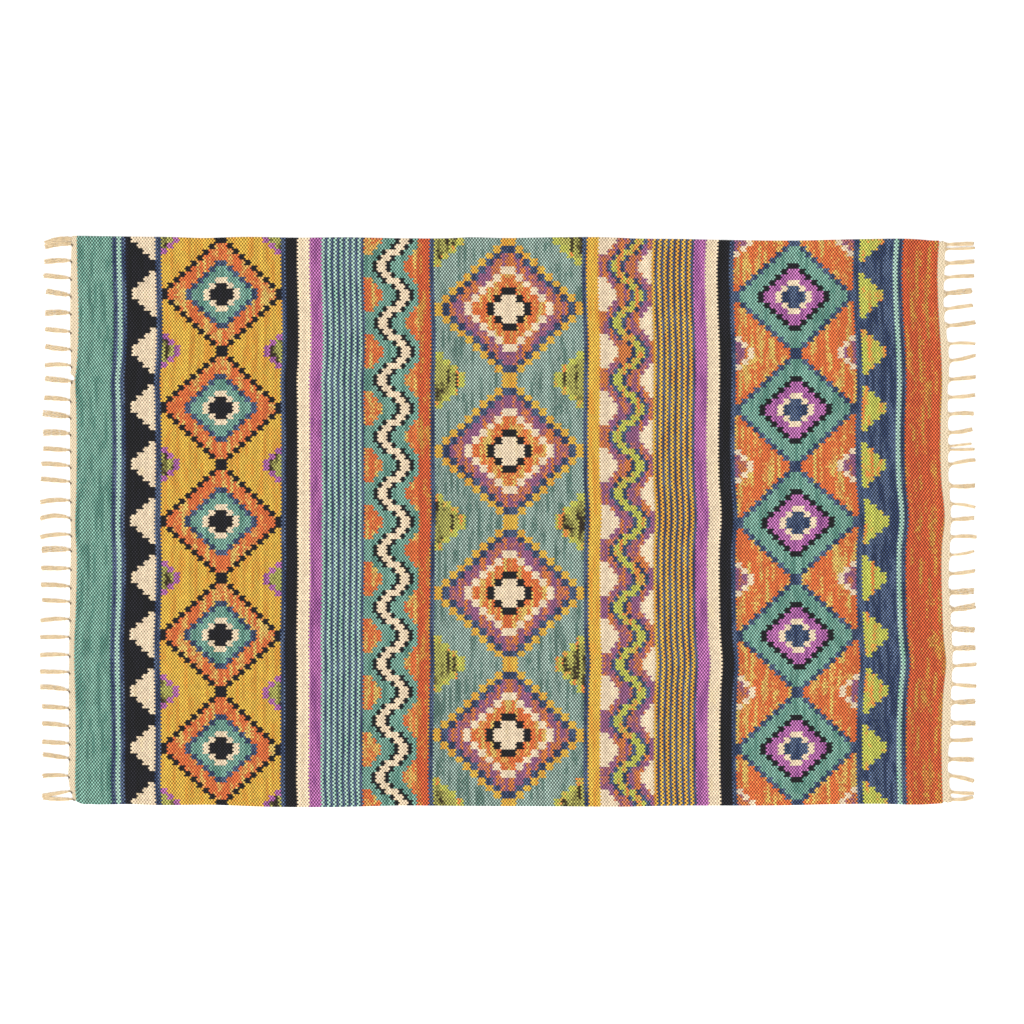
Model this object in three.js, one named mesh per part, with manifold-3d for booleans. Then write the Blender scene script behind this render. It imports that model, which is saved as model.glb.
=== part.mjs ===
// A flat-woven rug, 155 x 240 cm, lying flat, with a tasselled cream strip at each end.
// Millimetres, +Z up. X runs along the warps from end to end, Y across the cloth.
// The origin is on the floor, under the middle of the whole rug.
import * as THREE from 'three';
import { mergeVertices } from 'three/addons/utils/BufferGeometryUtils.js';
import Module from 'manifold-3d';

const wasm = await Module();
wasm.setup();

const bodyLength = 2400; // without its tassels
const clothThickness = 4;
const edgeRounding = 0.8; // of the worn edge of the cloth
const stripThickness = 3.2; // the plain end strip is thinner than the coloured cloth
const partingGap = 0.3; // between the cloth and each end strip
const edgeStep = 24; // between the points that an edge is drawn with
const strandHeight = 3.6;
const strandNeck = 9; // width of a tassel just past its knot
const strandTop = 0.64; // the width of a tassel's upper face, as a share of its lower one
const rootDepth = 0.5; // how far a tassel's root reaches back into the strip, as a share of it

const { lerp } = THREE.MathUtils;

const makeTable = (columns, rows) =>
  rows.map((row) => Object.fromEntries(columns.map((name, i) => [name, row[i] ?? 0])));

// Where each edge of the coloured cloth lies. The hand-beaten edges wander by a few millimetres.
const farSelvedge = makeTable(['x', 'y'], [
  [-1180, 779], [-1034, 778], [-897, 776], [-843, 774], [-733, 777], [-556, 774], [-460, 775],
  [-269, 772], [-105, 776], [-36, 772], [141, 774], [346, 773], [497, 772], [590, 768],
  [797, 767], [989, 772], [1125, 771], [1175, 767],
]);
const nearSelvedge = makeTable(['x', 'y'], [
  [-1182, -762], [-1171, -769], [-1143, -773], [-1034, -771], [-802, -773], [-665, -778],
  [-487, -780], [-296, -775], [-105, -777], [141, -778], [305, -779], [469, -775], [592, -774],
  [770, -775], [852, -774], [1016, -772], [1139, -773], [1188, -770],
]);
const leftClothEnd = makeTable(['x', 'y'], [
  [-1180, 779], [-1180, 430], [-1184, 388], [-1182, 331], [-1182, 58], [-1184, 4], [-1180, -106],
  [-1182, -215], [-1187, -365], [-1184, -488], [-1183, -625], [-1184, -734], [-1182, -762],
]);
const rightClothEnd = makeTable(['x', 'y'], [
  [1175, 767], [1171, 709], [1173, 605], [1183, 468], [1186, 386], [1182, 263], [1184, 113],
  [1193, 4], [1186, -65], [1186, -215], [1191, -325], [1197, -382], [1190, -461], [1186, -543],
  [1186, -707], [1188, -770],
]);

// The outer edge of each end strip, between its tassels.
const leftStripEdge = makeTable(['x', 'y'], [
  [-1192, 777], [-1194, 741], [-1195, 605], [-1197, 331], [-1197, 58], [-1195, -78],
  [-1197, -215], [-1199, -352], [-1199, -488], [-1198, -625], [-1195, -734], [-1186, -760],
]);
const rightStripEdge = makeTable(['x', 'y'], [
  [1190, 765], [1193, 722], [1191, 646], [1193, 564], [1201, 487], [1205, 419], [1201, 364],
  [1202, 263], [1203, 127], [1208, 28], [1206, -65], [1202, -166], [1208, -264], [1214, -368],
  [1209, -469], [1208, -573], [1201, -674], [1206, -721], [1208, -762],
]);

// Each tassel as it lies: its root along the strip, how far its tip leans from there, how far it
// reaches past the end of the body, the width of its tip, and how far its middle bows aside.
const tasselColumns = ['root', 'lean', 'reach', 'width', 'bow'];
const leftTassels = makeTable(tasselColumns, [
  [771, -5, 66, 11, 8], [757, -5, 66, 11, 7], [714, -3, 68, 12, 2], [665, 8, 70, 11],
  [619, 11, 64, 13], [569, -1, 66, 14, 2], [520, 7, 66, 11], [471, 8, 66, 12, -2],
  [427, 1, 66, 10, 3], [381, 8, 66, 13], [332, 7, 69, 11, 2], [285, 11, 72, 15],
  [240, 3, 72, 15, 2], [195, 5, 72, 11], [151, 7, 76, 11, 2], [107, 8, 77, 11],
  [58, -4, 79, 11, 4], [9, 0, 79, 11, 8], [-35, -7, 79, 10, 4], [-76, 0, 76, 15, 2],
  [-128, 1, 77, 11], [-177, 5, 77, 11, 2], [-221, 5, 74, 10], [-267, -3, 79, 10, 3],
  [-316, -1, 79, 10], [-365, 0, 79, 10, 2], [-412, 1, 80, 11], [-461, 10, 79, 12, 3],
  [-510, 5, 74, 11], [-560, 8, 74, 11, 2], [-606, 4, 74, 11], [-647, 12, 72, 11],
  [-695, 0, 73, 10, 2], [-739, -7, 74, 9], [-757, -4, 69, 9, -3],
]);
const rightTassels = makeTable(tasselColumns, [
  [757, 3, 72, 10], [744, 3, 73, 8, -1], [706, 4, 73, 12], [668, 4, 73, 10, 2], [624, 8, 68, 15],
  [583, 8, 70, 10, 2], [537, 10, 77, 12, -2], [486, 0, 76, 8, 3], [440, 15, 77, 10, -3],
  [389, 7, 77, 11], [341, 5, 76, 10, -2], [293, 3, 73, 11, 3], [244, 10, 69, 11, -3],
  [206, 8, 66, 6], [198, 1, 75, 7, -1], [154, 15, 77, 10, 2], [99, 0, 76, 12, -3],
  [50, -10, 77, 8, 3], [5, 5, 73, 11], [-43, 1, 80, 10, 3], [-89, 8, 73, 7, -3],
  [-141, 7, 76, 10, -2], [-193, 3, 73, 17], [-240, 11, 77, 16, -2], [-294, -3, 75, 16],
  [-346, 0, 77, 15, 2], [-394, 4, 80, 10, 2], [-442, -8, 79, 10, 2], [-494, 1, 77, 14, -2],
  [-551, -1, 77, 14], [-598, 0, 70, 11, -3], [-651, -1, 73, 11, 2], [-694, -16, 73, 11, 2],
  [-740, -3, 73, 9, 2], [-760, 5, 70, 9, -4],
]);

// Sections of a tassel from its root to its cut tip. Width and height are shares of its own.
const rightSections = makeTable(['at', 'width', 'height'], [
  [0, 2.8, 0.75], [0.1, 2.5, 0.8], [0.16, 1.5, 1], [0.21, 1.15, 1.5], [0.27, 0.95, 1.4],
  [0.32, 0.85, 1], [0.5, 1, 1], [0.75, 1.05, 0.95], [0.93, 1, 0.85], [1, 0.85, 0.7],
]);
const leftSections = makeTable(['at', 'width', 'height'], [
  [0, 1.6, 0.75], [0.1, 1.5, 0.8], [0.14, 1.2, 1], [0.18, 1.15, 1.5], [0.23, 0.95, 1.4],
  [0.28, 0.85, 1], [0.5, 1, 1], [0.75, 1.05, 0.95], [0.93, 1, 0.85], [1, 0.85, 0.7],
]);

const edgePoints = (rows) => {
  const corners = rows.map(({ x, y }) => new THREE.Vector3(x, y, 0));
  const curve = new THREE.CatmullRomCurve3(corners, false, 'centripetal');
  const points = curve.getSpacedPoints(Math.round(curve.getLength() / edgeStep));
  return points.map(({ x, y }) => new THREE.Vector2(x, y));
};

const shifted = (points, dx) => points.map((point) => new THREE.Vector2(point.x + dx, point.y));

// Where an end edge lies at this place across the cloth. Its rows go down from the far selvedge.
const edgeAt = (rows, y) => {
  const next = rows.findIndex((row) => row.y < y);
  if (next === 0) return rows[0].x;
  if (next < 0) return rows.at(-1).x;
  const [above, below] = rows.slice(next - 1, next + 1);
  return THREE.MathUtils.mapLinear(y, above.y, below.y, above.x, below.x);
};

const toSolid = (geometry) => {
  const bare = new THREE.BufferGeometry();
  bare.setAttribute('position', geometry.getAttribute('position'));
  bare.setIndex(geometry.getIndex());
  const merged = mergeVertices(bare, 1e-4);
  return new wasm.Manifold(new wasm.Mesh({
    numProp: 3,
    vertProperties: new Float32Array(merged.getAttribute('position').array),
    triVerts: new Uint32Array(merged.getIndex().array),
  }));
};

const toGeometry = (solid) => {
  const { vertProperties, triVerts } = solid.getMesh();
  const geometry = new THREE.BufferGeometry();
  geometry.setAttribute('position', new THREE.BufferAttribute(vertProperties, 3));
  geometry.setIndex(new THREE.BufferAttribute(triVerts, 1));
  return geometry;
};

const makeCloth = () => {
  const outline = [
    ...edgePoints(nearSelvedge).slice(0, -1),
    ...edgePoints(rightClothEnd).reverse().slice(0, -1),
    ...edgePoints(farSelvedge).reverse().slice(0, -1),
    ...edgePoints(leftClothEnd).slice(0, -1),
  ];
  const geometry = new THREE.ExtrudeGeometry(new THREE.Shape(outline), {
    depth: clothThickness - 2 * edgeRounding,
    bevelThickness: edgeRounding,
    bevelSize: edgeRounding,
    bevelOffset: -edgeRounding,
    bevelSegments: 1,
  });
  return geometry.translate(0, 0, edgeRounding);
};

const makeStrip = ({ clothEnd, stripEdge, side }) => {
  const inner = shifted(edgePoints(clothEnd), side * partingGap);
  const outer = edgePoints(stripEdge).reverse();
  const shape = new THREE.Shape([...inner, ...outer]);
  return new THREE.ExtrudeGeometry(shape, { depth: stripThickness, bevelEnabled: false });
};

// One tassel: four-sided sections along a bowed line, with flat undersides on the floor.
const makeStrand = ({ root, lean, reach, width, bow }, end) => {
  const { clothEnd, stripEdge, sections, side } = end;
  const edge = edgeAt(stripEdge, root);
  const start = new THREE.Vector2(lerp(edge, edgeAt(clothEnd, root), rootDepth), root);
  const tip = new THREE.Vector2(side * (bodyLength / 2 + reach), root + lean);
  const middle = start.clone().lerp(tip, 0.5).add(new THREE.Vector2(0, 2 * bow));
  const line = new THREE.QuadraticBezierCurve(start, middle, tip);
  const outward = new THREE.Vector2(side, 0);
  const positions = [];
  for (const section of sections) {
    const centre = line.getPoint(section.at);
    const along = section.at > 0 ? line.getTangent(section.at) : outward;
    const across = new THREE.Vector2(-along.y, along.x);
    const full = lerp(Math.min(strandNeck, width), width, section.at);
    const half = (full * section.width) / 2;
    const height = strandHeight * section.height;
    for (const [reachAcross, z] of [[-1, 0], [1, 0], [strandTop, height], [-strandTop, height]]) {
      const point = centre.clone().addScaledVector(across, half * reachAcross);
      positions.push(point.x, point.y, z);
    }
  }
  const faces = [0, 2, 1, 0, 3, 2];
  for (let ring = 0; ring < sections.length - 1; ring += 1) {
    for (let corner = 0; corner < 4; corner += 1) {
      const here = 4 * ring + corner;
      const beside = 4 * ring + ((corner + 1) % 4);
      faces.push(here, beside, beside + 4, here, beside + 4, here + 4);
    }
  }
  const last = 4 * (sections.length - 1);
  faces.push(last, last + 1, last + 2, last, last + 2, last + 3);
  const geometry = new THREE.BufferGeometry();
  geometry.setAttribute('position', new THREE.Float32BufferAttribute(positions, 3));
  geometry.setIndex(faces);
  return geometry;
};

const makeFringe = (end) => {
  const strands = end.tassels.map((tassel) => toSolid(makeStrand(tassel, end)));
  return toGeometry(strands.reduce((whole, strand) => whole.add(strand), toSolid(makeStrip(end))));
};

const dyedYarn = new THREE.MeshStandardMaterial({ color: '#6f9a89', roughness: 0.95, metalness: 0 });
const creamYarn = new THREE.MeshStandardMaterial({ color: '#e9d3ae', roughness: 0.95, metalness: 0 });

const addPiece = (group, name, geometry, material) => {
  const piece = new THREE.Mesh(geometry, material);
  piece.name = name;
  group.add(piece);
};

const leftEnd = {
  clothEnd: leftClothEnd,
  stripEdge: leftStripEdge,
  tassels: leftTassels,
  sections: leftSections,
  side: -1,
};
const rightEnd = {
  clothEnd: rightClothEnd,
  stripEdge: rightStripEdge,
  tassels: rightTassels,
  sections: rightSections,
  side: 1,
};

const rug = new THREE.Group();
addPiece(rug, 'web', makeCloth(), dyedYarn);
addPiece(rug, 'fringe_left', makeFringe(leftEnd), creamYarn);
addPiece(rug, 'fringe_right', makeFringe(rightEnd), creamYarn);

export default rug;
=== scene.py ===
# %% [markdown]
# # A flat-woven rug with tasselled ends
# The cloth is a weft-faced plain weave. The coloured weft is beaten down until it hides the warp, so
# the surface is rows of small beads, each one a weft yarn passing over one warp. The warp shows only
# at the ends, where it is gathered into tassels. Lengths are in metres, and the rug lies on z = 0.

# %% Load the solids and keep their box
import math
import random

import bmesh
import bpy
import numpy as np
from mathutils import Matrix, Vector


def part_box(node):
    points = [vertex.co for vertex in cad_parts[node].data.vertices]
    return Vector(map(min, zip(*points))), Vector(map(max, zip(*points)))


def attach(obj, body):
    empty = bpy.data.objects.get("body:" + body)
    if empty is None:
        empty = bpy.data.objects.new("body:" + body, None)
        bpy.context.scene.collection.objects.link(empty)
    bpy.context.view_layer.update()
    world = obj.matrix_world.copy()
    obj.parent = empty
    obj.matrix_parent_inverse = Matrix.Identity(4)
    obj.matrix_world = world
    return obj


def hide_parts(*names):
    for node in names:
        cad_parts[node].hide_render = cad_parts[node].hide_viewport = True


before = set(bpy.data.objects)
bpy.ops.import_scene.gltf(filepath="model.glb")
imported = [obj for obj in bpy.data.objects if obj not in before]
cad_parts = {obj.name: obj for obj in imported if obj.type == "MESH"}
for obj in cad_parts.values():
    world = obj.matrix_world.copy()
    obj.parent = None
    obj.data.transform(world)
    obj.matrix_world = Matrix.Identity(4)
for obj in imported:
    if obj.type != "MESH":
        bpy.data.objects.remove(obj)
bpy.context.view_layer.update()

MM = 0.001
random.seed(8)

# %% [markdown]
# ## The camera
# The rug is seen from straight above. A long lens high over the floor keeps its edges parallel, as
# in a catalogue picture. The picture takes in 2.8 m of floor, and the rug lies a little off its
# middle.

# %% The camera
PICTURE_WIDTH = 2.799
PICTURE_MIDDLE = (0.0103, 0.0254)
CAMERA_HEIGHT = 14.0
SENSOR = 36.0

camera = bpy.data.objects.new("camera", bpy.data.cameras.new("camera"))
camera.data.sensor_width = SENSOR
camera.data.lens = SENSOR * CAMERA_HEIGHT / PICTURE_WIDTH
camera.data.clip_end = 100
camera.location = (*PICTURE_MIDDLE, CAMERA_HEIGHT)
bpy.context.collection.objects.link(camera)
bpy.context.scene.camera = camera

# %% [markdown]
# ## Light and floor
# A pale floor under an even white sky shows the dyes as they are. A low soft sun from the near left
# gives each bead of the weave a lit and a shaded side. The Standard view transform keeps the yarns'
# colours true.


# %% One helper for nodes, and one for colours
def add(tree, kind, inputs=(), **settings):
    """Adds a node, sets its settings, and links or sets its inputs. Returns its first output."""
    made = tree.nodes.new("ShaderNode" + kind)
    for name, value in settings.items():
        setattr(made, name, value)
    pairs = inputs.items() if isinstance(inputs, dict) else enumerate(inputs)
    for key, value in pairs:
        if isinstance(value, bpy.types.NodeSocket):
            tree.links.new(value, made.inputs[key])
        elif value is not None:
            made.inputs[key].default_value = value
    return made.outputs[0] if made.outputs else made


def linear(colour):
    """An sRGB hex colour as linear red, green, blue and alpha."""
    parts = [int(colour[i : i + 2], 16) / 255 for i in (1, 3, 5)]
    return (*(p / 12.92 if p <= 0.04045 else ((p + 0.055) / 1.055) ** 2.4 for p in parts), 1.0)


def new_material(name):
    """An empty material and its node tree."""
    material = bpy.data.materials.new(name)
    material.use_nodes = True
    material.node_tree.nodes.clear()
    return material, material.node_tree


# %% Light and floor
SKY_STRENGTH = 1.3
SUN_STRENGTH = 1.65
SUN_SOFTNESS = 25
SUN_FROM = (-2.5, -4.0, 3.6)
FLOOR_SIZE = 30
FLOOR_DROP = 0.3 * MM

world = bpy.data.worlds.new("even white sky")
world.use_nodes = True
world.node_tree.nodes["Background"].inputs["Color"].default_value = (1, 1, 1, 1)
world.node_tree.nodes["Background"].inputs["Strength"].default_value = SKY_STRENGTH
bpy.context.scene.world = world

sun = bpy.data.objects.new("soft sun", bpy.data.lights.new("soft sun", "SUN"))
sun.data.energy = SUN_STRENGTH
sun.data.angle = math.radians(SUN_SOFTNESS)
sun.rotation_euler = (-Vector(SUN_FROM)).to_track_quat("-Z", "Y").to_euler()
bpy.context.collection.objects.link(sun)
bpy.context.scene.view_settings.view_transform = "Standard"

material, tree = new_material("pale floor")
floor_shader = add(tree, "BsdfPrincipled", {"Base Color": linear("#fafafa"), "Roughness": 0.9})
add(tree, "OutputMaterial", {"Surface": floor_shader})
bm = bmesh.new()
bmesh.ops.create_grid(bm, x_segments=1, y_segments=1, size=FLOOR_SIZE / 2)
bmesh.ops.translate(bm, vec=(0, 0, -FLOOR_DROP), verts=bm.verts)
floor_mesh = bpy.data.meshes.new("floor")
bm.to_mesh(floor_mesh)
bm.free()
floor_mesh.materials.append(material)
floor = bpy.data.objects.new("floor", floor_mesh)
bpy.context.collection.objects.link(floor)

# %% [markdown]
# ## The outline
# A loom keeps a cloth square only to within a few millimetres: each selvedge is drawn in a little
# differently from pick to pick, and the beating leaves the last picks in a shallow curve. Each edge
# is a short table of places, in millimetres, with a smooth line through them.

# %% The edges of the cloth
FAR_SELVEDGE = [
    (-1180, 780), (-1034, 778), (-897, 776), (-843, 774), (-733, 777), (-556, 775), (-460, 776),
    (-269, 773), (-143, 774), (-105, 776), (-23, 774), (141, 776), (278, 776), (346, 773),
    (497, 771), (590, 769), (797, 767), (989, 771), (1125, 771), (1175, 767),
]
NEAR_SELVEDGE = [
    (-1182, -764), (-1171, -771), (-1143, -773), (-1034, -773), (-980, -775), (-802, -775),
    (-665, -780), (-487, -781), (-296, -777), (-105, -778), (141, -779), (305, -780),
    (469, -777), (592, -777), (770, -776), (852, -774), (1016, -772), (1139, -774),
    (1188, -771),
]
LEFT_CLOTH_END = [
    (779, -1180), (430, -1180), (388, -1184), (331, -1182), (58, -1182), (4, -1184), (-106, -1180),
    (-215, -1182), (-365, -1187), (-488, -1184), (-625, -1183), (-734, -1184), (-762, -1182),
]
RIGHT_CLOTH_END = [
    (767, 1178), (709, 1174), (605, 1175), (468, 1183), (386, 1186), (263, 1182), (113, 1184),
    (4, 1193), (-65, 1186), (-215, 1186), (-325, 1191), (-382, 1197), (-461, 1190), (-543, 1186),
    (-707, 1186), (-770, 1188),
]
LEFT_STRIP_EDGE = [
    (777, -1192), (741, -1194), (605, -1197), (500, -1197), (416, -1195), (402, -1195),
    (396, -1188), (386, -1187), (380, -1194), (372, -1196), (331, -1197),
    (58, -1197), (-78, -1196), (-215, -1198), (-352, -1200), (-488, -1201), (-625, -1200),
    (-734, -1197), (-760, -1188),
]
RIGHT_STRIP_EDGE = [
    (765, 1190), (722, 1193), (646, 1190), (564, 1191), (487, 1201), (419, 1205), (364, 1201),
    (263, 1202), (127, 1203), (28, 1209), (-65, 1207), (-166, 1203), (-264, 1209), (-368, 1214),
    (-469, 1210), (-573, 1208), (-674, 1201), (-721, 1206), (-762, 1208),
]


def smooth_line(rows):
    """A smooth line through a table of (place, value) in millimetres, as a function in metres."""
    places, values = np.array(sorted(rows), float).T * MM
    slopes = np.gradient(values, places)

    def line(place):
        place = np.clip(place, places[0], places[-1])
        i = np.clip(np.searchsorted(places, place) - 1, 0, len(places) - 2)
        step = places[i + 1] - places[i]
        t = (place - places[i]) / step
        start, finish = values[i], values[i + 1]
        bend = t * (1 - t) * step * ((1 - t) * slopes[i] - t * slopes[i + 1])
        return start + (finish - start) * t * t * (3 - 2 * t) + bend

    return line


far_edge, near_edge = smooth_line(FAR_SELVEDGE), smooth_line(NEAR_SELVEDGE)
left_end, right_end = smooth_line(LEFT_CLOTH_END), smooth_line(RIGHT_CLOTH_END)
cloth_low, cloth_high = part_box("web")
CLOTH_LENGTH = cloth_high[0] - cloth_low[0]
CLOTH_WIDTH = cloth_high[1] - cloth_low[1]
print(f"cloth {CLOTH_LENGTH:.3f} by {CLOTH_WIDTH:.3f} m")

# %% [markdown]
# ## The cloth
# A woven sheet is made as a grid whose lines follow the picks and the warps, so that the weave can
# follow its UV map. The grid is drawn to the outline, Solidify gives it its thickness, and Bevel
# rounds the selvedges. It lies flat, but for slack of half a millimetre here and there.

# %% The cloth's sheet
GRID = (190, 124)
CLOTH_THICKNESS = 3.9 * MM
EDGE_ROUNDING = 1.3 * MM
PICK_WANDER = 3.5 * MM
SLACK = 0.45 * MM
# The slack grows from nothing at an edge to its full height within a twelfth of the cloth.
SLACK_GROWTH = 12


def cloth_point(u, v):
    """A place on the cloth, u from its left end to its right and v from its near edge to its far."""
    about = float(left_end(0) + (right_end(0) - left_end(0)) * u)
    y = float(near_edge(about) + (far_edge(about) - near_edge(about)) * v)
    x = float(left_end(y) + (right_end(y) - left_end(y)) * u)
    inside = 4 * u * (1 - u)
    # The numbers in the waves are chosen so that no bow of a pick and no rise comes twice.
    x += PICK_WANDER * inside * math.sin(9 * u + 1) * math.cos(math.pi * v + 2 * u)
    slack = SLACK * (0.5 + 0.5 * math.sin(23 * u + 5 * v) * math.sin(4 * u + 17 * v))
    still = min(1, *(SLACK_GROWTH * gap for gap in (u, 1 - u, v, 1 - v)))
    return Vector((x, y, slack * still))


# %% A sheet's thickness and its round edges
EDGE_SEGMENTS = 3
EDGE_ANGLE = 50


def finish_sheet(bm, name, thickness, rounding):
    """Makes an object of a flat sheet whose underside is drawn, with a thickness and round edges."""
    mesh = bpy.data.meshes.new(name)
    bmesh.ops.recalc_face_normals(bm, faces=bm.faces)
    if next(iter(bm.faces)).normal.z < 0:
        bmesh.ops.reverse_faces(bm, faces=bm.faces)
    bm.to_mesh(mesh)
    bm.free()
    for face in mesh.polygons:
        face.use_smooth = True
    piece = bpy.data.objects.new(name, mesh)
    bpy.context.collection.objects.link(piece)
    solid = piece.modifiers.new("thickness", "SOLIDIFY")
    solid.thickness = thickness
    solid.offset = 1
    edge = piece.modifiers.new("round edge", "BEVEL")
    edge.width = rounding
    edge.segments = EDGE_SEGMENTS
    edge.limit_method = "ANGLE"
    edge.angle_limit = math.radians(EDGE_ANGLE)
    return piece


# %% Weave the cloth
bm = bmesh.new()
bm.loops.layers.uv.new("weave")
bmesh.ops.create_grid(bm, x_segments=GRID[0], y_segments=GRID[1], size=0.5, calc_uvs=True)
for vertex in bm.verts:
    vertex.co = cloth_point(vertex.co.x + 0.5, vertex.co.y + 0.5)
web = finish_sheet(bm, "cloth", CLOTH_THICKNESS, EDGE_ROUNDING)
print("cloth:", len(web.data.polygons), "faces on its grid")

# %% [markdown]
# ## The yarns
# The weft is thick soft yarn, some of it spun from two colours, which comes out mottled in streaks
# along each pick. Each skein has a main colour, a fleck colour, the share of fleck, and a number
# that says how fast the shade painted on its beads deepens towards the gaps. Light passes between
# pale yarns, so their gaps look narrower than those of dark yarns.

# %% The skeins
# A ramp's alpha holds a number from 0 to 1, so the last number is kept there as a share of this.
SHARPEST = 3.0
SKEINS = {
    "cream": ("#e7d2b4", "#e1cca7", 0.35, 0.60),
    "sea green": ("#9dcebc", "#76ac9c", 0.45, 1.70),
    "grey green": ("#c2dbcf", "#83a69a", 0.45, 2.00),
    "mint": ("#bddecf", "#a2d2ba", 0.40, 1.30),
    "navy": ("#778bae", "#445982", 0.50, 2.20),
    "black": ("#222130", "#14141e", 0.50, 2.20),
    "gold": ("#f2c652", "#ecac40", 0.45, 1.10),
    "orange": ("#f18043", "#edcc72", 0.45, 1.15),
    "rust": ("#f07442", "#e9ac52", 0.42, 1.50),
    "lime": ("#dadc6a", "#ffa053", 0.42, 1.30),
    "olive": ("#d5d175", "#423114", 0.45, 1.60),
    "plum": ("#b276a0", "#f29753", 0.48, 1.50),
    "magenta": ("#dd8bce", "#ba6eb4", 0.45, 1.60),
}
skein_names = list(SKEINS)


def skein_at(name):
    """The number that stands for a skein, from 0 to 1."""
    return (skein_names.index(name) + 0.5) / len(skein_names)


# %% [markdown]
# ## The pattern
# It is a plain banded layout of the kind that flat weaves have had for centuries: rows of stepped
# lozenges, zigzags and teeth between guard stripes. A weaver counts it in picks along the rug and in
# warps across it. Each motif is a distance, measured in steps, and a table of which skein that
# distance takes. The real cloth has about 760 picks and 360 warps. Beads that fine fall between the
# pixels of a picture of the whole rug, so they are drawn about a quarter coarser here.

# %% The bands and their motifs
WARPS = 300
# Each band's skein, its length in picks, a second skein that takes every other pair of picks, and
# its motif. A band of no picks gives its skein to the half beads at that end of the cloth.
LEFT_BANDS = [
    ("cream", 0, None, None),
    ("sea green", 24, None, None),
    ("navy", 3, None, None),
    ("mint", 3, None, None),
    ("navy", 3, None, None),
    ("cream", 20, None, "black teeth"),
    ("navy", 4, None, None),
    ("gold", 80, None, "orange lozenges"),
    ("navy", 3, None, None),
    ("black", 8, None, None),
    ("cream", 8, None, None),
    ("magenta", 8, None, None),
    ("navy", 28, "mint", None),
    ("sea green", 36, None, "cream zigzag"),
    ("rust", 8, None, None),
    ("navy", 3, None, None),
]
MIDDLE_BAND = [("grey green", 100, None, "large lozenges")]
RIGHT_BANDS = [
    ("navy", 3, None, None),
    ("gold", 8, None, None),
    ("plum", 36, None, "lime zigzag"),
    ("gold", 28, "navy", None),
    ("magenta", 8, None, None),
    ("cream", 8, None, None),
    ("black", 8, None, None),
    ("navy", 3, None, None),
    ("orange", 80, None, "green lozenges"),
    ("navy", 4, None, None),
    ("lime", 20, None, "navy teeth"),
    ("navy", 3, None, None),
    ("mint", 3, None, None),
    ("navy", 3, None, None),
    ("rust", 24, None, None),
    ("cream", 0, None, None),
]
BANDS = LEFT_BANDS + MIDDLE_BAND + RIGHT_BANDS
PICKS = sum(band[1] for band in BANDS)
# The cloth's ends lie half a pick into the count, so that no gap between beads falls on them.
EDGE_SHIFT = 0.5
PICK_PITCH = CLOTH_LENGTH / PICKS
WARP_PITCH = CLOTH_WIDTH / WARPS

# Where a form's distance starts and how far it reaches, as shares of its band, how much it swings
# from side to side, and how much its distance grows across the cloth.
FORMS = {
    "lozenge": (0.5, 0.5, 0.0, 1.0),
    "tooth from the left": (0.0, 1.0, 0.0, 1.0),
    "tooth from the right": (1.0, 1.0, 0.0, 1.0),
    "zigzag": (0.5, 0.5, 0.5556, 0.0),
}
# Each motif's form, its half repeat in warps, its step in picks and in warps, and its skeins by
# distance. None is the band's own skein.
MOTIFS = {
    "black teeth": ("tooth from the left", 15, 4, 3, [(0, "black"), (0.9, None)]),
    "navy teeth": ("tooth from the right", 15, 4, 3, [(0, "navy"), (0.9, None)]),
    "cream zigzag": (
        "zigzag", 15, 3, 3, [(0, "cream"), (0.19, "black"), (0.36, None), (0.8, "orange")],
    ),
    "lime zigzag": (
        "zigzag", 15, 3, 3, [(0, "lime"), (0.19, "navy"), (0.36, None), (0.8, "cream")],
    ),
    "orange lozenges": (
        "lozenge", 30, 4, 3,
        [(0, "black"), (0.15, "cream"), (0.25, "sea green"), (0.45, "navy"), (0.55, "orange"),
         (0.85, "black"), (0.95, None), (1.55, "magenta"), (1.65, "olive")],
    ),
    "green lozenges": (
        "lozenge", 30, 4, 3,
        [(0, "navy"), (0.15, "cream"), (0.25, "magenta"), (0.45, "black"), (0.55, "sea green"),
         (0.85, "navy"), (0.95, None), (1.55, "cream"), (1.65, "plum")],
    ),
    "large lozenges": (
        "lozenge", 37.5, 5, 3.75,
        [(0, "cream"), (0.15, "black"), (0.25, "orange"), (0.45, "cream"), (0.55, "plum"),
         (0.75, "navy"), (0.85, "gold"), (0.95, None), (1.45, "lime"), (1.55, "olive")],
    ),
}
print(f"{PICKS} picks of {PICK_PITCH / MM:.2f} mm and {WARPS} warps of {WARP_PITCH / MM:.2f} mm")


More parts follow.
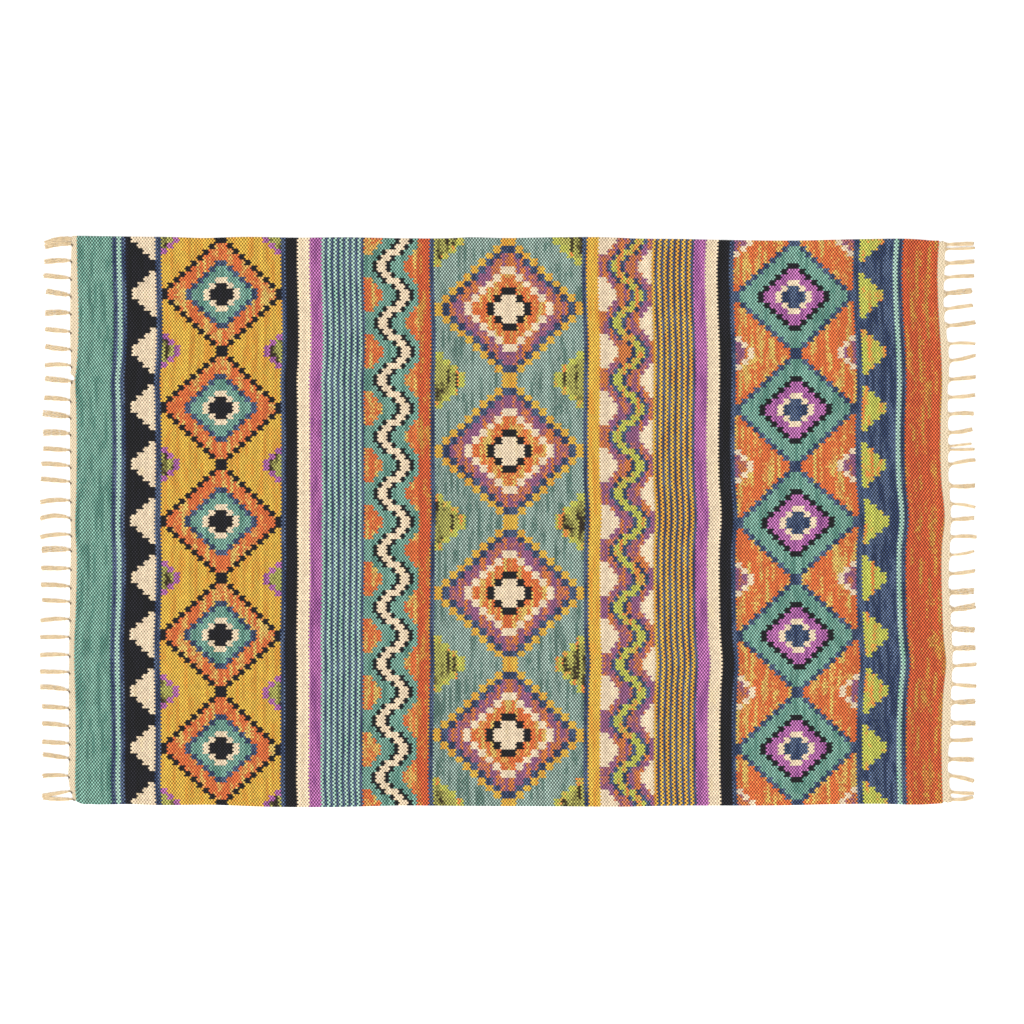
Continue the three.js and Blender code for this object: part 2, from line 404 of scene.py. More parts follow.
# %% The bead that a point lies on
def weave_places(tree, picks, warps, shift=0.0):
    """Sockets for the bead at each point: its pick, its warp, the bead's height, and the place on
    the weave as picks and warps."""
    uv = add(tree, "UVMap", uv_map="weave")
    across = add(tree, "SeparateXYZ", [uv])
    pick = add(tree, "Math", [across, picks, shift], operation="MULTIPLY_ADD")
    warp = add(tree, "Math", [across.node.outputs["Y"], warps], operation="MULTIPLY")
    column = add(tree, "Math", [warp], operation="FLOOR")
    # The next pick goes over the other warps, so the beads of odd columns lie one pick back.
    odd = add(tree, "Math", [column, 2], operation="FLOORED_MODULO")
    raised = add(tree, "Math", [pick, odd], operation="ADD")
    bead = add(tree, "Math", [raised, 0.5], operation="MULTIPLY")
    row = add(tree, "Math", [bead], operation="FLOOR")
    middle = add(tree, "Math", [row, 2, 1], operation="MULTIPLY_ADD")
    bead_pick = add(tree, "Math", [middle, odd], operation="SUBTRACT")
    # A bead rises and falls once in two picks, and is round from side to side of its warp.
    turn = add(tree, "Math", [raised, math.pi], operation="MULTIPLY")
    wave = add(tree, "Math", [turn], operation="COSINE")
    half_turn = add(tree, "Math", [warp, math.pi], operation="MULTIPLY")
    rib = add(tree, "Math", [half_turn], operation="SINE")
    ridge = add(tree, "Math", [rib], operation="ABSOLUTE")
    swell = add(tree, "Math", [wave, ridge], operation="MULTIPLY")
    height = add(tree, "Math", [swell, -0.5, 0.5], operation="MULTIPLY_ADD")
    return {
        "pick": bead_pick,
        "row": row,
        "column": column,
        "height": height,
        "exact pick": pick,
        "exact warp": warp,
    }


# %% The bands as a chain of steps
def banded(tree, pick, values):
    """A number that changes from band to band: it starts at the first band's value and adds the
    difference at each band's start."""
    total = values[0]
    start = 0
    for band, value, before in zip(BANDS, values[1:], values):
        start += band[1]
        if value == before:
            continue
        past = add(tree, "Math", [pick, start + 0.5], operation="GREATER_THAN")
        total = add(tree, "Math", [past, value - before, total], operation="MULTIPLY_ADD")
    return total


def fill_ramp(socket, stops):
    """Sets a ramp's stops: (place, colour) rows, held from each place to the next."""
    ramp = socket.node.color_ramp
    ramp.interpolation = "CONSTANT"
    while len(ramp.elements) < len(stops):
        ramp.elements.new(1.0)
    for element, (place, colour) in zip(ramp.elements, stops):
        element.position, element.color = place, colour


# %% A motif and where it lies
def motif_number(tree, places, name, start, length, ground):
    """The skein number of a motif in the band that starts at a pick and has a length in picks."""
    form, repeat, pick_step, warp_step, rings = MOTIFS[name]
    origin_share, reach_share, swing, slope = FORMS[form]
    origin, reach = start + length * origin_share, length * reach_share
    warp = add(tree, "Math", [places["column"], 0.5 + repeat], operation="ADD")
    fold = add(tree, "Math", [warp, repeat], operation="PINGPONG")
    stepped_fold = add(tree, "Math", [fold, warp_step], operation="SNAP")
    aside = add(tree, "Math", [stepped_fold, 1 / repeat], operation="MULTIPLY")
    along = add(tree, "Math", [places["pick"], origin], operation="SUBTRACT")
    if not swing:
        along = add(tree, "Math", [along], operation="ABSOLUTE")
    stepped_along = add(tree, "Math", [along, pick_step], operation="SNAP")
    share = add(tree, "Math", [stepped_along, reach], operation="DIVIDE")
    if swing:
        level = swing * (1 - warp_step / repeat)
        swung = add(tree, "Math", [aside, -2 * swing, level], operation="MULTIPLY_ADD")
        gap = add(tree, "Math", [share, swung], operation="ADD")
        share = add(tree, "Math", [gap], operation="ABSOLUTE")
    distance = add(tree, "Math", [aside, slope, share], operation="MULTIPLY_ADD")
    half = add(tree, "Math", [distance, 0.5], operation="MULTIPLY")
    ringed = add(tree, "ValToRGB", [half])
    numbers = [skein_at(skein or ground) for _, skein in rings]
    fill_ramp(ringed, [(at / 2, (n, n, n, 1)) for (at, _), n in zip(rings, numbers)])
    return ringed


def pattern_number(tree, places):
    """The skein number of each bead over the whole cloth."""
    pick = places["pick"]
    first = banded(tree, pick, [skein_at(skein) for skein, *_ in BANDS])
    second = banded(tree, pick, [skein_at(other or skein) for skein, _, other, _ in BANDS])
    pair = add(tree, "Math", [pick, 0.5], operation="SUBTRACT")
    phase = add(tree, "Math", [pair, 4], operation="FLOORED_MODULO")
    other = add(tree, "Math", [phase, 2], operation="LESS_THAN")
    number = add(tree, "Mix", {0: other, 2: first, 3: second}, data_type="FLOAT")
    start = 0
    for skein, length, _, motif in BANDS:
        if motif:
            middle = start + length / 2 + 0.5
            within = add(tree, "Math", [pick, middle, length / 2], operation="COMPARE")
            inside = motif_number(tree, places, motif, start + 0.5, length, skein)
            number = add(tree, "Mix", {0: within, 2: number, 3: inside}, data_type="FLOAT")
        start += length
    return number


# %% [markdown]
# ## The yarn's own look
# Dyed wool and cotton weft is matt and slightly hairy. Each pick is mottled where its two colours
# come to the top in turn, each bead takes the dye a little differently, and dye lots change from
# band to band. The beads are raised by about a millimetre.

# %% The mottled colour of the beads
STREAK_LENGTH = 120 * MM
STREAK_SHARPNESS = 8.0
# Neighbouring rows read the streaks this far apart, so that each row has its own.
ROW_SPREAD = 7.31
BEAD_FLECK = 0.12


def mottled_colour(tree, places, bead_luck, main, fleck, fleck_share):
    """The colour of each bead: streaks of the main and the fleck colour along the picks."""
    warp_streak = WARP_PITCH / STREAK_LENGTH
    lengthwise = add(tree, "Math", [places["exact warp"], warp_streak], operation="MULTIPLY")
    apart = add(tree, "Math", [places["row"], ROW_SPREAD], operation="MULTIPLY")
    streak_place = add(tree, "CombineXYZ", [apart, lengthwise])
    streak = add(tree, "TexNoise", {"Vector": streak_place, "Scale": 1.0, "Detail": 2.0})
    over = add(tree, "Math", [streak, fleck_share], operation="ADD")
    jittered = add(tree, "Math", [bead_luck, BEAD_FLECK, over], operation="MULTIPLY_ADD")
    sharp = add(tree, "Math", [jittered, 1.0 + BEAD_FLECK / 2], operation="SUBTRACT")
    mottle = add(
        tree, "Math", [sharp, STREAK_SHARPNESS, 0.5], operation="MULTIPLY_ADD", use_clamp=True
    )
    return add(tree, "Mix", {0: mottle, 6: main, 7: fleck}, data_type="RGBA").node.outputs[2]


# %% How beads, picks and dye lots differ
DYE_LOT_LENGTH = 60 * MM
DYE_LOT_CHANGE = 0.12
PICK_CHANGE = 0.20
BEAD_CHANGE = 0.26


def dyed_tone(tree, places, bead_luck, unevenness):
    """How pale or deep each bead took its dye. Unevenness is how much beads and picks differ."""
    pick_change = PICK_CHANGE * unevenness
    bead_change = BEAD_CHANGE * unevenness
    lot_place = add(
        tree, "Math", [places["pick"], PICK_PITCH / DYE_LOT_LENGTH], operation="MULTIPLY"
    )
    lot = add(tree, "TexNoise", {"W": lot_place, "Detail": 3.0}, noise_dimensions="1D")
    row_luck = add(tree, "TexWhiteNoise", {"W": places["row"]}, noise_dimensions="1D")
    row_tone = add(
        tree, "Math", [row_luck, pick_change, 1 - pick_change / 2], operation="MULTIPLY_ADD"
    )
    bead_tone = add(
        tree, "Math", [bead_luck, bead_change, 1 - bead_change / 2], operation="MULTIPLY_ADD"
    )
    lot_tone = add(
        tree, "Math", [lot, 2 * DYE_LOT_CHANGE, 1 - DYE_LOT_CHANGE], operation="MULTIPLY_ADD"
    )
    line_tone = add(tree, "Math", [row_tone, lot_tone], operation="MULTIPLY")
    return add(tree, "Math", [bead_tone, line_tone], operation="MULTIPLY")


# %% The fibres of the yarn
FIBRES_PER_PICK = 9
FIBRE_LENGTH = 2.5 * MM


def fibre_noise(tree, places):
    """A fine noise, drawn out along the picks as the fibres of the yarn are."""
    across = add(tree, "Math", [places["exact pick"], FIBRES_PER_PICK], operation="MULTIPLY")
    along = add(
        tree, "Math", [places["exact warp"], WARP_PITCH / FIBRE_LENGTH], operation="MULTIPLY"
    )
    fibre_place = add(tree, "CombineXYZ", [across, along])
    return add(tree, "TexNoise", {"Vector": fibre_place, "Scale": 1.0, "Detail": 1.0})


# %% The woven finish
# How much the shade painted into the gaps between beads darkens them.
PAINTED_GAP_SHADE = 0.95
# Painted light: a gap is painted deeper in colour, as light that bounces there comes out, and a
# painted highlight, as from light reflected off the fibres, makes a crown paler.
GAP_SATURATION = 0.35
PAINTED_CROWN_HIGHLIGHT = 0.02
BEAD_RELIEF = 0.8 * MM
FIBRE_RELIEF = 0.12 * MM
FIBRE_CHANGE = 0.35
WOOL_ROUGHNESS = 0.92
YARN_GLOSS = 0.2
YARN_SHEEN = 0.03


def woven_finish(tree, places, main, fleck, fleck_share, sharpness, unevenness=1.0):
    """Joins a bead's colours, its painted shade and highlight, and its relief into a shader. The
    colours and the two numbers after them are sockets or values, and unevenness is how much beads
    and picks differ."""
    bead_place = add(tree, "CombineXYZ", [places["pick"], places["column"]])
    bead_luck = add(tree, "TexWhiteNoise", {"Vector": bead_place}, noise_dimensions="2D")
    colour = mottled_colour(tree, places, bead_luck, main, fleck, fleck_share)
    tone = dyed_tone(tree, places, bead_luck, unevenness)
    fibre = fibre_noise(tree, places)
    fibre_tone = add(
        tree, "Math", [fibre, FIBRE_CHANGE, 1 - FIBRE_CHANGE / 2], operation="MULTIPLY_ADD"
    )
    # Painted shade: a bead is darkened towards its gaps and keeps its colour on its crown, as shade
    # falls there.
    crown = add(tree, "Math", [places["height"], sharpness], operation="POWER")
    lit = add(tree, "Math", [crown, PAINTED_GAP_SHADE, 1 - PAINTED_GAP_SHADE], operation="MULTIPLY_ADD")
    fibre_tone_and_painted_shade = add(tree, "Math", [fibre_tone, lit], operation="MULTIPLY")
    whole = add(tree, "Math", [tone, fibre_tone_and_painted_shade], operation="MULTIPLY")
    # Painted light: the gaps are deepened in colour as by light bounced there, and each crown gets a
    # painted highlight.
    depth = add(
        tree, "Math", [crown, -GAP_SATURATION, 1 + GAP_SATURATION], operation="MULTIPLY_ADD"
    )
    deep = add(tree, "Gamma", {"Color": colour, "Gamma": depth})
    pale = add(tree, "Math", [crown, PAINTED_CROWN_HIGHLIGHT], operation="MULTIPLY")
    shaded = add(tree, "VectorMath", [deep, whole, pale], operation="MULTIPLY_ADD")
    relief = add(
        tree, "Math", [fibre, FIBRE_RELIEF / BEAD_RELIEF, places["height"]],
        operation="MULTIPLY_ADD",
    )
    bump = add(tree, "Bump", {"Height": relief, "Distance": BEAD_RELIEF, "Strength": 1.0})
    shader = add(
        tree, "BsdfPrincipled",
        {"Base Color": shaded, "Normal": bump, "Roughness": WOOL_ROUGHNESS,
         "Specular IOR Level": YARN_GLOSS, "Sheen Weight": YARN_SHEEN},
    )
    add(tree, "OutputMaterial", {"Surface": shader})


# %% The dyed weft of the cloth
material, tree = new_material("dyed wool weft, weft-faced plain weave")
places = weave_places(tree, PICKS, WARPS, EDGE_SHIFT)
number = pattern_number(tree, places)
main_colour = add(tree, "ValToRGB", [number])
fleck_colour = add(tree, "ValToRGB", [number])
skein_starts = [i / len(SKEINS) for i in range(len(SKEINS))]
fill_ramp(
    main_colour,
    [
        (at, (*linear(main)[:3], share))
        for at, (main, _, share, _) in zip(skein_starts, SKEINS.values())
    ],
)
fill_ramp(
    fleck_colour,
    [
        (at, (*linear(fleck)[:3], sharpness / SHARPEST))
        for at, (_, fleck, _, sharpness) in zip(skein_starts, SKEINS.values())
    ],
)
sharp_beads = add(
    tree, "Math", [fleck_colour.node.outputs["Alpha"], SHARPEST], operation="MULTIPLY"
)
woven_finish(
    tree, places, main_colour, fleck_colour, main_colour.node.outputs["Alpha"], sharp_beads
)
web.data.materials.append(material)
print("the pattern uses", len(tree.nodes), "nodes")

# %% [markdown]
# ## The tassels' places
# Each tassel is one row: its root along the strip, how far its tip leans from there, how far it
# reaches past the end of the body, the width of its tip, and how far its middle bows aside, all in
# millimetres. They follow the solids, give or take a few millimetres.

# %% The tassels' places
BODY_LENGTH = 2400 * MM
LEFT_TASSELS = [
    (771, -12, 66, 11, 6), (759, -9, 66, 12, 3), (712, -3, 68, 12, 2), (664, 8, 70, 11, 0),
    (617, 12, 64, 13, 0), (569, -1, 66, 14, 2), (518, 7, 66, 11, 0), (470, 8, 66, 12, -2),
    (425, 1, 66, 10, 3), (382, 8, 66, 13, 0), (330, 7, 69, 11, 2), (285, 11, 72, 15, 0),
    (239, 3, 72, 15, 2), (194, 5, 72, 11, 0), (150, 7, 76, 11, 2), (108, 8, 77, 11, 0),
    (56, -4, 79, 11, 4), (7, 0, 79, 11, 8), (-37, -7, 79, 10, 4), (-78, 0, 76, 15, 2),
    (-129, 1, 77, 11, 0), (-179, 5, 77, 11, 2), (-220, 5, 74, 10, 0), (-268, -4, 79, 10, 3),
    (-316, -1, 79, 10, 0), (-366, 0, 79, 10, 2), (-412, 1, 80, 10, 0), (-463, 10, 79, 12, 3),
    (-511, 5, 74, 11, 0), (-561, 8, 74, 11, 2), (-607, 4, 74, 11, 0), (-648, 11, 72, 11, 0),
    (-696, 0, 73, 10, 2), (-737, -13, 74, 9, 0), (-759, 3, 71, 9, -2),
]
RIGHT_TASSELS = [
    (756, 3, 72, 10, 0), (744, 3, 75, 7, -1), (704, 6, 73, 12, 0), (664, 6, 73, 10, 2),
    (621, 9, 68, 15, 0), (577, 13, 70, 10, 1), (534, 10, 77, 12, -2), (483, 2, 76, 8, 3),
    (438, 16, 77, 10, -3), (386, 8, 77, 11, 0), (339, 6, 76, 10, -2), (290, 4, 73, 11, 3),
    (242, 10, 69, 11, -3), (204, 8, 66, 6, 0), (196, 1, 75, 7, -1), (152, 16, 77, 10, 2),
    (98, 0, 76, 12, -3), (47, -9, 77, 8, 3), (3, 6, 73, 11, 0), (-45, 2, 80, 10, 3),
    (-92, 10, 73, 7, -3), (-144, 9, 76, 10, -2), (-195, 4, 73, 17, 0), (-242, 12, 77, 16, -2),
    (-294, -3, 75, 16, 0), (-349, 3, 77, 15, 1), (-397, 6, 80, 10, 0), (-444, -7, 79, 10, -1),
    (-495, 3, 77, 14, -1), (-551, -1, 77, 14, 0), (-598, 2, 70, 11, -2), (-651, -1, 73, 13, 1),
    (-694, -16, 73, 11, 2), (-738, -5, 73, 9, -2), (-759, 5, 70, 10, -4),
]

# %% [markdown]
# ## The end strips
# The last centimetre or two of each end is woven in cream yarn, to hold the coloured picks. At the
# right end the gathered warps pull its edge out to each tassel, so it hangs in shallow arcs between
# them. At the left end its edge is turned under, and each tassel comes out through a small gap,
# whose shadow is painted on the strip as a dark patch.

# %% The end strips
STRIP_GRID = (6, 900)
STRIP_THICKNESS = 3.1 * MM
STRIP_ROUNDING = 1.0 * MM
# How far a tassel pulls the strip's edge out, and how far along the edge its pull reaches, on its
# near and on its far side.
PULL = {"left": 2.0 * MM, "right": 9.0 * MM}
PULL_WIDTHS = {"left": (7.0 * MM, 6.0 * MM), "right": (21.0 * MM, 14.0 * MM)}
# How much narrower the strip is than the cloth, at each side.
DRAWN_IN = {"left": 0.0, "right": 3.0 * MM}
# Painted shade where a tassel comes out of the turned-under edge, standing in for the shadow of that
# gap: how far it reaches into the strip and along its edge, and how far on the near side of the
# tassel it lies.
GAP_SHADE_SIZE = (6.5 * MM, 5.5 * MM)
GAP_SHADE_ASIDE = 3.5 * MM


def pulled_out(y, roots, end):
    """How far the tassels pull the strip's edge out at a place along it."""
    near_width, far_width = PULL_WIDTHS[end]
    shares = [(y - root) / far_width if y > root else (root - y) / near_width for root in roots]
    return PULL[end] * max(0.0, 1 - min(shares)) ** 2


def end_strip(end, cloth_end, strip_rows, tassels):
    """One cream end strip, from the cloth's end to its own outer edge."""
    outward = -1 if end == "left" else 1
    outer = smooth_line(strip_rows)
    roots = [root * MM for root, *_ in tassels]
    low = float(near_edge(outward * BODY_LENGTH / 2)) + DRAWN_IN[end]
    high = float(far_edge(outward * BODY_LENGTH / 2)) - DRAWN_IN[end]
    bm = bmesh.new()
    bm.loops.layers.uv.new("weave")
    bmesh.ops.create_grid(
        bm, x_segments=STRIP_GRID[0], y_segments=STRIP_GRID[1], size=0.5, calc_uvs=True
    )
    dark = bm.verts.layers.float.new("painted_root_shade")
    for vertex in bm.verts:
        share = vertex.co.x + 0.5
        y = low + (high - low) * (vertex.co.y + 0.5)
        edge = float(outer(y)) + outward * pulled_out(y, roots, end)
        inner = float(cloth_end(y))
        x = inner + (edge - inner) * share
        vertex.co = (x, y, 0)
        # At the left end a dark patch is painted on the strip at each tassel's root, for the shadow
        # of the gap that the tassel comes out of.
        if end == "left":
            # The tassel at the far corner, the first of the table, lies over its own gap, so none is
            # painted there.
            aside = min(abs(y - root + GAP_SHADE_ASIDE) for root in roots[1:])
            distance = math.hypot((x - edge) / GAP_SHADE_SIZE[0], aside / GAP_SHADE_SIZE[1])
            vertex[dark] = min(1.0, max(0.0, 2 - 2 * distance))
    return finish_sheet(bm, f"end_strip_{end}", STRIP_THICKNESS, STRIP_ROUNDING)


left_strip = end_strip("left", left_end, LEFT_STRIP_EDGE, LEFT_TASSELS)
right_strip = end_strip("right", right_end, RIGHT_STRIP_EDGE, RIGHT_TASSELS)

# %% The cream weft of the end strips
STRIP_PICKS = 5
# How fast the shade painted on the cream beads deepens towards their gaps.
STRIP_SHARPNESS = 0.30
STRIP_UNEVENNESS = 0.3
material, tree = new_material("undyed cotton, plain weave")
places = weave_places(tree, STRIP_PICKS, WARPS)
# A vertex attribute paints the shadow of those gaps on the left strip, darkening the cream towards
# dark brown.
painted_root_shade = add(tree, "Attribute", attribute_name="painted_root_shade").node.outputs["Fac"]
cream = add(
    tree, "Mix", {0: painted_root_shade, 6: linear("#d6c4a6"), 7: linear("#57422e")}, data_type="RGBA"
).node.outputs[2]
woven_finish(tree, places, cream, cream, 0.0, STRIP_SHARPNESS, STRIP_UNEVENNESS)
for strip in (left_strip, right_strip):
    strip.data.materials.append(material)
print("end strips:", [len(strip.data.polygons) for strip in (left_strip, right_strip)], "faces")

# %% [markdown]
# ## The tassels
# A tassel is a bunch of warp ends, knotted once close to the cloth and cut straight. It is made of
# eight yarns in two loosely twisted groups, drawn together at the knot and freer towards the tip.
# One straight yarn is made with operators and copied, and each copy is laid along its own line.

# %% One straight yarn and one turn of a knot
YARN_RADIUS = 1.2 * MM
YARN_SIDES = 6
YARN_CUTS = 14
KNOT_STEPS = 12
# The radius of the yarn of a knot, as a share of the ring that it makes.
KNOT_YARN = 0.28
MERGE_DISTANCE = 1e-4


def straight_yarn():
    """A round bar of radius 1 along z from 0 to 1, with rings along it and a UV map of its own."""
    bm = bmesh.new()
    yarn_map = bm.loops.layers.uv.new("yarn")
    bmesh.ops.create_cone(
        bm, segments=YARN_SIDES, radius1=1, radius2=1, depth=1, cap_ends=True, cap_tris=False
    )
    bmesh.ops.translate(bm, vec=(0, 0, 0.5), verts=bm.verts)
    lengthwise = [e for e in bm.edges if abs(e.verts[0].co.z - e.verts[1].co.z) > 0.5]
    bmesh.ops.subdivide_edges(bm, edges=lengthwise, cuts=YARN_CUTS, use_grid_fill=True)
    for face in bm.faces:
        face.smooth = abs(face.normal.z) < 0.5
        for loop in face.loops:
            co = loop.vert.co
            loop[yarn_map].uv = (math.atan2(co.y, co.x) / math.tau + 0.5, co.z)
    mesh = bpy.data.meshes.new("straight yarn")
    bm.to_mesh(mesh)
    bm.free()
    return mesh


def knot_turn():
    """A ring of radius 1 round the x axis, as thick as a yarn is to a knot."""
    bm = bmesh.new()
    bm.loops.layers.uv.new("yarn")
    made = bmesh.ops.create_circle(bm, segments=YARN_SIDES, radius=KNOT_YARN)
    bmesh.ops.translate(bm, vec=(0, 1, 0), verts=made["verts"])
    bmesh.ops.spin(
        bm, geom=bm.edges[:], cent=(0, 0, 0), axis=(1, 0, 0), dvec=(0, 0, 0),
        angle=math.tau, steps=KNOT_STEPS, use_merge=True,
    )
    bmesh.ops.remove_doubles(bm, verts=bm.verts, dist=MERGE_DISTANCE)
    bmesh.ops.recalc_face_normals(bm, faces=bm.faces)
    for face in bm.faces:
        face.smooth = True
    mesh = bpy.data.meshes.new("knot turn")
    bm.to_mesh(mesh)
    bm.free()
    return mesh


yarn_mesh, turn_mesh = straight_yarn(), knot_turn()
print("a yarn has", len(yarn_mesh.polygons), "faces and a turn", len(turn_mesh.polygons))


def add_copy(bm, mesh):
    """Adds a copy of a small mesh and returns its new vertices."""
    before = len(bm.verts)
    bm.from_mesh(mesh)
    bm.verts.ensure_lookup_table()
    return bm.verts[before:]


# %% The line that a tassel lies along
# How far inside the strip's edge a yarn starts.
ROOT_BACK = {"left": 2.5 * MM, "right": 6 * MM}


def tassel_line(row, outer, outward, root_back):
    """A tassel's middle line on the floor, as a function of a share of its length."""
    root, lean, reach, _, bow = (value * MM for value in row)
    start = Vector((float(outer(root)) - outward * root_back, root))
    tip = Vector((outward * (BODY_LENGTH / 2 + reach), root + lean))
    middle = (start + tip) / 2 + Vector((0, 2 * bow))

    def line(share):
        place = start * (1 - share) ** 2 + middle * 2 * share * (1 - share) + tip * share**2
        along = (middle - start) * (1 - share) + (tip - middle) * share
        return place, along.normalized()

    return line


# %% The knot of a tassel
# How far along a tassel its knot lies, how far it stands out past the yarns, the length and half
# the height of a turn, the height of its middle, and the step from one turn to the next.
KNOT_AT = 0.2
KNOT_MARGIN = 0.4 * MM
TURN_LENGTH = 2.2 * MM
TURN_HEIGHT = 2.25 * MM
KNOT_HEIGHT = 2.95 * MM
TURN_STEP = 1.9 * MM


def add_knot(bm, line, width):
    """Lays the two turns of a knot round a tassel that is this wide there."""
    place, along = line(KNOT_AT)
    half = width / 2 + KNOT_MARGIN
    turned = Matrix.Rotation(math.atan2(along.y, along.x), 4, "Z")
    for turn in (-0.5, 0.5):
        ring = add_copy(bm, turn_mesh)
        bmesh.ops.scale(bm, vec=(TURN_LENGTH, half, TURN_HEIGHT), verts=ring)
        bmesh.ops.transform(bm, matrix=turned, verts=ring)
        centre = place + along * turn * TURN_STEP
        bmesh.ops.translate(bm, vec=(*centre, KNOT_HEIGHT), verts=ring)


# %% The yarns of a tassel
GROUP_YARNS = 4
# A group's twist over the tassel's length, in radians, and how much it and the yarns' lengths
# differ.
TWIST = 4.6
TWIST_SHARES = (0.7, 1.3)
LENGTH_SHARES = (0.97, 1.02)
# A yarn strays aside from half-way on, by up to half of this at its tip.
STRAY = 0.8 * MM
# How far a group's circle of yarns keeps inside its half of the tassel, the least radius of that
# circle, the height of its middle, how far the twist lifts and lowers a yarn, half a yarn's
# height, and the least gap under it.
GROUP_INSET = 0.6 * YARN_RADIUS
LEAST_GROUP = 0.5 * YARN_RADIUS
GROUP_HEIGHT = 1.9 * YARN_RADIUS
TWIST_LIFT = 0.75 * YARN_RADIUS
YARN_HALF_HEIGHT = 0.95 * YARN_RADIUS
FLOOR_GAP = 0.1 * MM
# A yarn starts low, inside the strip, and has risen to its full height this far along.
SUNK_ROOT = 0.4
RISE_END = 0.2
# How far along a tassel its root's shade reaches, and how dark it is.
ROOT_SHADE = {"left": (0.13, 1.0), "corner": (0.13, 0.3), "right": (0.26, 0.35)}
# How wide a tassel is at places along it, as a share of its tip. The two at the far left corner,
# whose roots are past the corner's start, lie together and are hardly drawn in.
SPREAD = {
    "left": [(0, 0.45), (0.12, 0.45), (0.2, 0.75), (0.32, 1.05), (0.6, 1.15), (1, 1.15)],
    "corner": [(0, 0.95), (0.12, 0.95), (0.2, 1.0), (0.32, 1.05), (0.6, 1.15), (1, 1.15)],
    "right": [(0, 2.2), (0.12, 1.3), (0.2, 0.65), (0.35, 0.85), (0.6, 1.05), (1, 0.95)],
}
CORNER_START = 750 * MM


def add_tassel(bm, dark, row, outer, outward, end):
    """Lays the yarns and the knot of one tassel."""
    line = tassel_line(row, outer, outward, ROOT_BACK[end])
    form = "corner" if end == "left" and row[0] * MM > CORNER_START else end
    shade_end, shade_depth = ROOT_SHADE[form]
    width = row[3] * MM
    shares, spreads = zip(*SPREAD[form])
    spin_start = random.uniform(0, math.tau)
    for group in (-1, 1):
        twist = TWIST * random.uniform(*TWIST_SHARES)
        for yarn in range(GROUP_YARNS):
            phase = spin_start + group + math.tau * yarn / GROUP_YARNS
            reach = random.uniform(*LENGTH_SHARES)
            stray = random.uniform(-STRAY, STRAY)
            for vertex in add_copy(bm, yarn_mesh):
                share = vertex.co.z * reach
                spread = float(np.interp(share, shares, spreads)) * width
                group_radius = max(spread / 4 - GROUP_INSET, LEAST_GROUP)
                angle = phase + twist * share
                aside = group * spread / 4 + group_radius * math.cos(angle)
                aside += stray * max(0.0, share - 0.5) + YARN_RADIUS * vertex.co.x
                middle = GROUP_HEIGHT + TWIST_LIFT * math.sin(angle)
                middle *= min(1.0, SUNK_ROOT + share / RISE_END)
                up = middle + YARN_HALF_HEIGHT * vertex.co.y
                place, along = line(share)
                across = Vector((-along.y, along.x))
                vertex.co = (*(place + across * aside), max(up, FLOOR_GAP))
                # Painted shade on the yarn, strongest at the root where it comes out of the strip.
                vertex[dark] = shade_depth * max(0.0, 1 - share / shade_end)
    add_knot(bm, line, width * float(np.interp(KNOT_AT, shares, spreads)))


# %% Lay the tassels of both ends
def fringe(end, strip_rows, tassels):
    """All the tassels of one end as one piece."""
    outward = -1 if end == "left" else 1
    outer = smooth_line(strip_rows)
    bm = bmesh.new()
    dark = bm.verts.layers.float.new("painted_root_shade")
    for row in tassels:
        add_tassel(bm, dark, row, outer, outward, end)
    mesh = bpy.data.meshes.new(f"tassels_{end}")
    bmesh.ops.recalc_face_normals(bm, faces=bm.faces)
    bm.to_mesh(mesh)
    bm.free()
    piece = bpy.data.objects.new(f"tassels_{end}", mesh)
    bpy.context.collection.objects.link(piece)
    return piece


left_tassels = fringe("left", LEFT_STRIP_EDGE, LEFT_TASSELS)
right_tassels = fringe("right", RIGHT_STRIP_EDGE, RIGHT_TASSELS)
print("tassels:", [len(piece.data.polygons) for piece in (left_tassels, right_tassels)], "faces")

# %% [markdown]
# ## Cotton warp yarn
# Undyed cotton spun in two plies is warm cream and matt, with slanted lines where the plies meet:
# painted shade in the grooves and painted light on the ridges between them, and a bump.
# The lines come from the yarn's own UV map, so they turn with each yarn.

# %% Cotton warp yarn
PLIES = 2.0
PLY_TURNS = 16
PLY_RELIEF = 0.35 * MM
PLY_BUMP = 0.6
PLY_SHADE = 0.10
# Paler and deeper patches, how many fit in a metre, and how much they count.
PATCHES_PER_METRE = 60.0
PATCH_SHADE = 0.9
COTTON_ROUGHNESS = 0.9

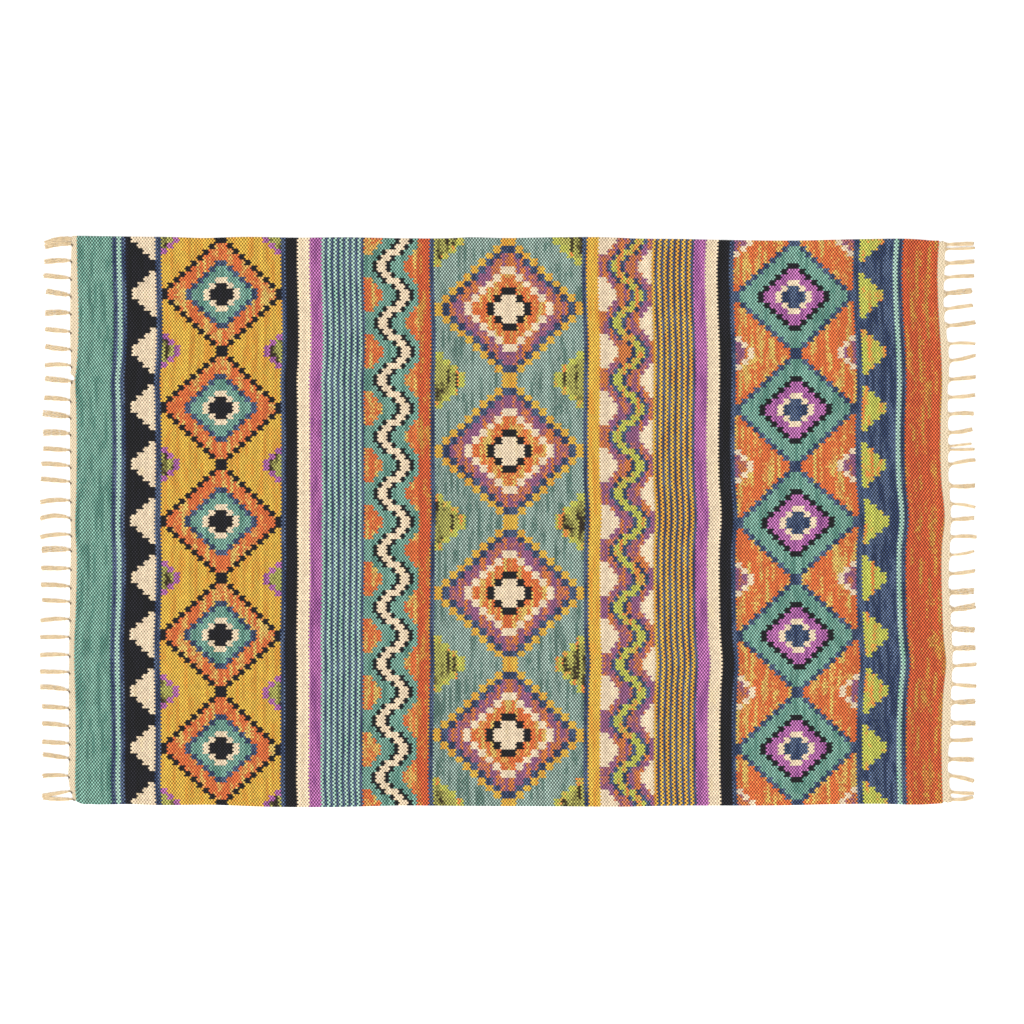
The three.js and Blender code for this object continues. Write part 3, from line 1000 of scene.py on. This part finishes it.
material, tree = new_material("undyed cotton warp, two plies")
uv = add(tree, "UVMap", uv_map="yarn")
around = add(tree, "SeparateXYZ", [uv])
lengthwise = add(tree, "Math", [around.node.outputs["Y"], PLY_TURNS], operation="MULTIPLY")
slant = add(tree, "Math", [around, PLIES, lengthwise], operation="MULTIPLY_ADD")
turns = add(tree, "Math", [slant, math.tau], operation="MULTIPLY")
ply = add(tree, "Math", [turns], operation="SINE")
object_place = add(tree, "TexCoord").node.outputs["Object"]
patch = add(
    tree, "TexNoise", {"Vector": object_place, "Scale": PATCHES_PER_METRE, "Detail": 2.0}
)
# Painted shade and light along the plies: the cotton is darker in the grooves where they meet and
# paler on their ridges.
tone = add(tree, "Math", [ply, PLY_SHADE], operation="MULTIPLY")
mixed = add(tree, "Math", [patch, PATCH_SHADE, tone], operation="MULTIPLY_ADD", use_clamp=True)
cotton = add(
    tree, "Mix", {0: mixed, 6: linear("#bea37a"), 7: linear("#e6d2b0")}, data_type="RGBA"
).node.outputs[2]
# A vertex attribute paints shade on each tassel's first part, where it comes out of the strip,
# darkening the cotton towards dark brown.
painted_root_shade = add(tree, "Attribute", attribute_name="painted_root_shade").node.outputs["Fac"]
shaded_cotton = add(
    tree, "Mix", {0: painted_root_shade, 6: cotton, 7: linear("#4a3626")}, data_type="RGBA"
).node.outputs[2]
bump = add(tree, "Bump", {"Height": ply, "Distance": PLY_RELIEF, "Strength": PLY_BUMP})
shader = add(
    tree, "BsdfPrincipled",
    {"Base Color": shaded_cotton, "Normal": bump, "Roughness": COTTON_ROUGHNESS,
     "Specular IOR Level": YARN_GLOSS, "Sheen Weight": YARN_SHEEN},
)
add(tree, "OutputMaterial", {"Surface": shader})
for piece in (left_tassels, right_tassels):
    piece.data.materials.append(material)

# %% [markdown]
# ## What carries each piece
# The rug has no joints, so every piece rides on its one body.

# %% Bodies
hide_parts("web")
for piece, node in (
    (left_strip, "fringe_left"),
    (left_tassels, "fringe_left"),
    (right_strip, "fringe_right"),
    (right_tassels, "fringe_right"),
):
    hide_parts(node)
for piece in (web, left_strip, left_tassels, right_strip, right_tassels):
    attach(piece, "root")
